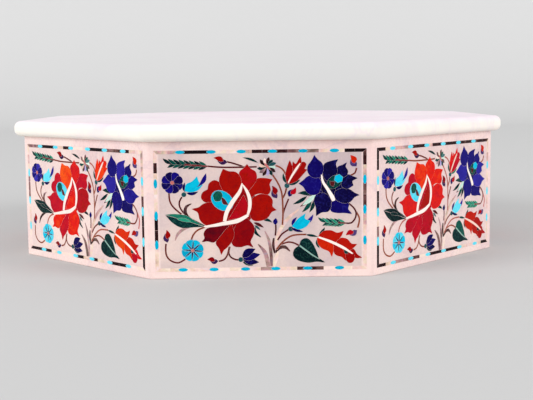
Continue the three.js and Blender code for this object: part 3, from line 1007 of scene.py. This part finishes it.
def stone_group():
    """The mottle inside one cut stone, shifted from stone to stone by its tone."""
    numbers = {"Tone": 0.5, "Scale": STONE_SCALE, "Stretch": 1.0}
    group, source, result = new_group("stone_mottle", numbers, ["Mottle", "Bands", "Grain"])
    shift = maths(group, "MULTIPLY", source["Tone"], TONE_SHIFT)
    moved = add_node(group, "VectorMath", {0: source["Vector"], 1: shift}, operation="ADD")
    vector = moved.outputs["Vector"]
    stretched = scaled(group, vector, source["Stretch"])
    mottle = noise(group, vector, source["Scale"], detail=4, roughness=0.6, distortion=0.5)
    bands = noise(group, stretched, scale=420, detail=3, roughness=0.5, distortion=2.5)
    feed(group, result["Mottle"], mottle)
    feed(group, result["Bands"], bands)
    feed(group, result["Grain"], noise(group, vector, scale=1500, detail=2))
    return group


def new_material(name):
    material = bpy.data.materials.new(name)
    material.use_nodes = True
    tree = material.node_tree
    return material, tree, tree.nodes["Principled BSDF"].inputs


def patterned(name, group, scale, attribute):
    """A material with a group of patterns on its Object coordinates, and a value from the mesh."""
    material, tree, shader = new_material(name)
    place = add_node(tree, "TexCoord").outputs["Object"]
    pattern = add_node(tree, "Group", {"Vector": place, "Scale": scale}, node_tree=group)
    value = add_node(tree, "Attribute", attribute_name=attribute).outputs["Fac"]
    return material, tree, shader, pattern, value


def polished(tree, shader, base, grain, roughness, height, depth, strength):
    """Feeds the surface shader. The grain moves the roughness between two values, and height
    makes fine bumps of a depth in metres."""
    bump = add_node(tree, "Bump", {"Height": height, "Distance": depth, "Strength": strength})
    feed(tree, shader["Base Color"], base)
    feed(tree, shader["Roughness"], spans(tree, grain, {"To Min": roughness[0], "To Max": roughness[1]}))
    feed(tree, shader["Normal"], bump.outputs["Normal"])


def marble(name, group, scale, plain, tint_and_reflection_colours, veined, roughness):
    """Polished marble. plain and the second pair are each a pale and a cloudy colour, and the mesh
    says where the second pair is mixed in: on the body the marble's own tint behind the drawings,
    on the lid painted reflection on its top face."""
    material, tree, shader, pattern, tint_and_reflection = patterned(name, group, scale, "tint_and_reflection")
    clouds, veins, grain = (pattern.outputs[mask] for mask in ("Clouds", "Veins", "Grain"))
    first, second = (ramp(tree, clouds, (0, 1), pair) for pair in (plain, tint_and_reflection_colours))
    # Where the mesh says, the second pair is mixed in: the body's own tint, and painted reflection on the
    # lid's top.
    base = mixed(tree, tint_and_reflection, first, second)
    veined_base = mixed(tree, maths(tree, "MULTIPLY", veins, VEIN_SHARE), base, colour(*veined))
    polished(tree, shader, veined_base, grain, roughness, grain, 0.02 * MM, 0.15)
    shader["Specular IOR Level"].default_value = 0.35
    shader["Subsurface Weight"].default_value = 0.12
    shader["Subsurface Radius"].default_value = (1.0, 0.8, 0.7)
    shader["Subsurface Scale"].default_value = 4 * MM
    return material


def toned(name, group, scale, wander, places, shades):
    """A stone whose tone picks its colour. The tone wanders a little with the mottle."""
    material, tree, shader, pattern, tone = patterned(name, group, scale, "tone")
    feed(tree, pattern.inputs["Tone"], tone)
    centred = maths(tree, "SUBTRACT", pattern.outputs["Mottle"], 0.5)
    shade = maths(tree, "MULTIPLY_ADD", centred, wander, tone, clamp=True)
    return material, tree, shader, pattern, ramp(tree, shade, places, shades)


def stone(name, group, shades, flecks, fleck_share, scale=STONE_SCALE):
    """A cut stone. Flecks of another colour run through it."""
    places = [i / (len(shades) - 1) for i in range(len(shades))]
    material, tree, shader, pattern, base = toned(name, group, scale, 0.35, places, shades)
    mottle, bands, grain = (pattern.outputs[mask] for mask in ("Mottle", "Bands", "Grain"))
    fleck = ramp(tree, bands, (0.52, 0.66), ((0, 0, 0), (255, 255, 255)))
    flecked = mixed(tree, maths(tree, "MULTIPLY", fleck, fleck_share), base, colour(*flecks))
    polished(tree, shader, flecked, grain, (0.12, 0.28), mottle, 0.01 * MM, 0.2)
    shader["Specular IOR Level"].default_value = 0.06
    return material


def shell(group):
    """Mother of pearl: dark and pale strips, partly the shell's own colour and partly painted
    reflection in its nacre, under a painted sheen that turns green, pink and olive along them.
    """
    # From dark to pale: partly the shell's own colour, partly painted reflection in its nacre.
    shades = [(14, 4, 10), (44, 18, 20), (106, 80, 78), (168, 144, 144), (220, 192, 178), (242, 220, 208)]
    places = (0, 0.22, 0.42, 0.6, 0.8, 1)
    material, tree, shader, pattern, base = toned("shell", group, SHELL_SCALE, 0.8, places, shades)
    pattern.inputs["Stretch"].default_value = SHELL_STRETCH
    bands, grain = pattern.outputs["Bands"], pattern.outputs["Grain"]
    # Painted sheen colours, laid over the base.
    painted_sheens = [(130, 190, 150), (235, 215, 190), (245, 176, 196), (176, 196, 230)]
    painted_sheen = ramp(tree, bands, (0.3, 0.45, 0.55, 0.7), painted_sheens)
    with_painted_sheen = mixed(tree, PAINTED_SHEEN_SHARE, base, painted_sheen, "OVERLAY")
    polished(tree, shader, with_painted_sheen, grain, (0.12, 0.24), bands, 0.02 * MM, 0.2)
    shader["Specular IOR Level"].default_value = 0.1
    return material


# The cut stones by their kind: the material's name, its colours from dark to pale, the colour of
# its flecks and how strong they are, and the scale of its mottle where that isn't STONE_SCALE
CUT_STONES = {
    "red": ("red_stone",
            [(80, 0, 18), (134, 0, 8), (162, 10, 0), (182, 0, 34), (222, 24, 8), (244, 92, 16)],
            (66, 0, 8), 0.25),
    "orange": ("orange_stone", [(140, 4, 8), (184, 20, 2), (212, 42, 2), (238, 88, 10)], (120, 6, 2), 0.25),
    "blue": ("blue_stone", [(4, 0, 40), (8, 0, 78), (16, 4, 112), (48, 40, 164)], (60, 60, 180), 0.15),
    "violet": ("violet_stone", [(44, 6, 44), (64, 40, 96), (104, 92, 150), (186, 174, 222)],
               (30, 4, 30), 0.2),
    "turquoise": ("turquoise", [(0, 120, 160), (0, 160, 196), (0, 192, 224), (110, 226, 244)],
                  (0, 110, 150), 0.2, FINE_STONE_SCALE),
    "green": ("green_stone", [(0, 22, 28), (0, 47, 48), (2, 92, 76), (44, 156, 126)], (90, 170, 146), 0.12),
    "pale_green": ("pale_green_stone", [(60, 120, 110), (150, 200, 185), (214, 236, 222)],
                   (90, 150, 130), 0.25),
    "teal": ("grey_green_stone", [(16, 18, 26), (30, 76, 82), (76, 126, 126), (20, 116, 176)],
             (10, 34, 40), 0.25),
    "maroon": ("brown_stone", [(54, 8, 18), (94, 26, 30), (150, 78, 50), (212, 120, 120)],
               (54, 14, 14), 0.25),
    "cream": ("cream_stone", [(222, 160, 130), (246, 214, 200), (255, 248, 244)], (252, 214, 192), 0.3),
}


def inlay_materials():
    group = stone_group()
    materials = {kind: stone(name, group, *looks) for kind, (name, *looks) in CUT_STONES.items()}
    return {**materials, "shell": shell(group)}


# Camera, floor and lights

CAMERA_AT = Vector((-3.634, -556.498, 87.583)) * MM
CAMERA_YAW, CAMERA_PITCH, CAMERA_ROLL = 0.0152, 0.0961, -0.0115
FOCAL_PIXELS, PICTURE_WIDTH = 926.506, 533
PRINCIPAL_ABOVE_CENTRE = 20
SENSOR = 36
CLIP_START, CLIP_END = 0.01, 50

FLOOR_HALF_WIDTH, FLOOR_FRONT = 4, -4
SWEEP_START, SWEEP_RADIUS, SWEEP_STEPS, BACKDROP_HEIGHT = 1.6, 0.8, 16, 1.8
FADE_START, FADE_END = 2.6, 3.8
PAPER_GREY = (0.62, 0.62, 0.62, 1)

# Each lamp: its place, its size and its power
LAMPS = {"key": ((-6.5, -3.6, 2.7), 4.6, 375), "fill": ((6.6, -3.2, 2.4), 4.4, 320)}
LAMP_TARGET = Vector((0, 0, 0.03))
WORLD_STRENGTH = 0.7


def placed(name, data):
    """A new object in the scene."""
    made = bpy.data.objects.new(name, data)
    bpy.context.scene.collection.objects.link(made)
    return made


def camera():
    forward = Vector((
        math.sin(CAMERA_YAW) * math.cos(CAMERA_PITCH),
        math.cos(CAMERA_YAW) * math.cos(CAMERA_PITCH),
        -math.sin(CAMERA_PITCH),
    ))
    right = Vector((math.cos(CAMERA_YAW), -math.sin(CAMERA_YAW), 0))
    up = right.cross(forward)
    rolled_right = right * math.cos(CAMERA_ROLL) + up * math.sin(CAMERA_ROLL)
    rolled_up = up * math.cos(CAMERA_ROLL) - right * math.sin(CAMERA_ROLL)
    data = bpy.data.cameras.new("camera")
    data.sensor_width = SENSOR
    data.lens = FOCAL_PIXELS / PICTURE_WIDTH * SENSOR
    data.shift_y = -PRINCIPAL_ABOVE_CENTRE / PICTURE_WIDTH
    data.clip_start = CLIP_START
    data.clip_end = CLIP_END
    viewer = placed("camera", data)
    turn = Matrix((rolled_right, rolled_up, -forward)).transposed().to_4x4()
    viewer.matrix_world = Matrix.Translation(CAMERA_AT) @ turn
    bpy.context.scene.camera = viewer


def paper():
    """Pale paper that fades away far from the box, so that its ends don't show from any side."""
    material, tree, shader = new_material("pale_paper")
    shader["Base Color"].default_value = PAPER_GREY
    shader["Roughness"].default_value = 0.9
    shader["Specular IOR Level"].default_value = 0
    place = add_node(tree, "TexCoord").outputs["Object"]
    distance = add_node(tree, "VectorMath", {0: place}, operation="LENGTH").outputs["Value"]
    ends = {"From Min": FADE_END, "From Max": FADE_START}
    feed(tree, shader["Alpha"], spans(tree, distance, ends, interpolation_type="SMOOTHSTEP"))
    return material


def backdrop():
    """A pale floor that sweeps up behind the box."""
    bm = bmesh.new()
    centre = Vector((-FLOOR_HALF_WIDTH, SWEEP_START, SWEEP_RADIUS))
    profile = [Vector((-FLOOR_HALF_WIDTH, FLOOR_FRONT, 0))]
    for i in range(SWEEP_STEPS + 1):
        angle = math.pi / 2 * i / SWEEP_STEPS
        profile.append(centre + SWEEP_RADIUS * Vector((0, math.sin(angle), -math.cos(angle))))
    profile.append(profile[-1] + Vector((0, 0, BACKDROP_HEIGHT)))
    verts = [bm.verts.new(point) for point in profile]
    edges = [bm.edges.new(pair) for pair in zip(verts, verts[1:])]
    swept = bmesh.ops.extrude_edge_only(bm, edges=edges)["geom"]
    bmesh.ops.translate(bm, verts=only_verts(swept), vec=(2 * FLOOR_HALF_WIDTH, 0, 0))
    for face in bm.faces:
        face.smooth = True
    floor = placed("backdrop", finished_mesh(bm, "backdrop"))
    floor.data.materials.append(paper())


def studio():
    """Soft lamps and a pale world."""
    for name, (place, size, power) in LAMPS.items():
        data = bpy.data.lights.new(name, "AREA")
        data.size = size
        data.energy = power
        light = placed(name, data)
        light.visible_glossy = False
        turn = (Vector(place) - LAMP_TARGET).to_track_quat("Z", "Y").to_matrix().to_4x4()
        light.matrix_world = Matrix.Translation(place) @ turn
    world = bpy.data.worlds.new("studio")
    world.use_nodes = True
    world.node_tree.nodes["Background"].inputs["Color"].default_value = (1, 1, 1, 1)
    world.node_tree.nodes["Background"].inputs["Strength"].default_value = WORLD_STRENGTH
    bpy.context.scene.world = world
    bpy.context.scene.view_settings.view_transform = "Standard"


def build():
    clouds = marble_group()
    body_marble = marble(
        "body_marble", clouds, 1.0, plain=((250, 226, 218), (238, 206, 204)),
        tint_and_reflection_colours=((231, 207, 198), (191, 172, 176)), veined=(190, 168, 186), roughness=(0.2, 0.34),
    )
    # The lid's second pair of colours is painted reflection on its top face.
    lid_marble = marble(
        "lid_marble", clouds, 0.8, plain=((252, 248, 236), (249, 237, 230)),
        tint_and_reflection_colours=((255, 243, 248), (246, 226, 238)), veined=(226, 208, 226), roughness=(0.3, 0.44),
    )
    finish_piece("marble_body", body_mesh(), [body_marble], ["box_body"])
    finish_piece("marble_lid", lid_mesh(), [lid_marble], ["lid"])
    inlay(inlay_materials())


camera()
studio()
backdrop()
build()
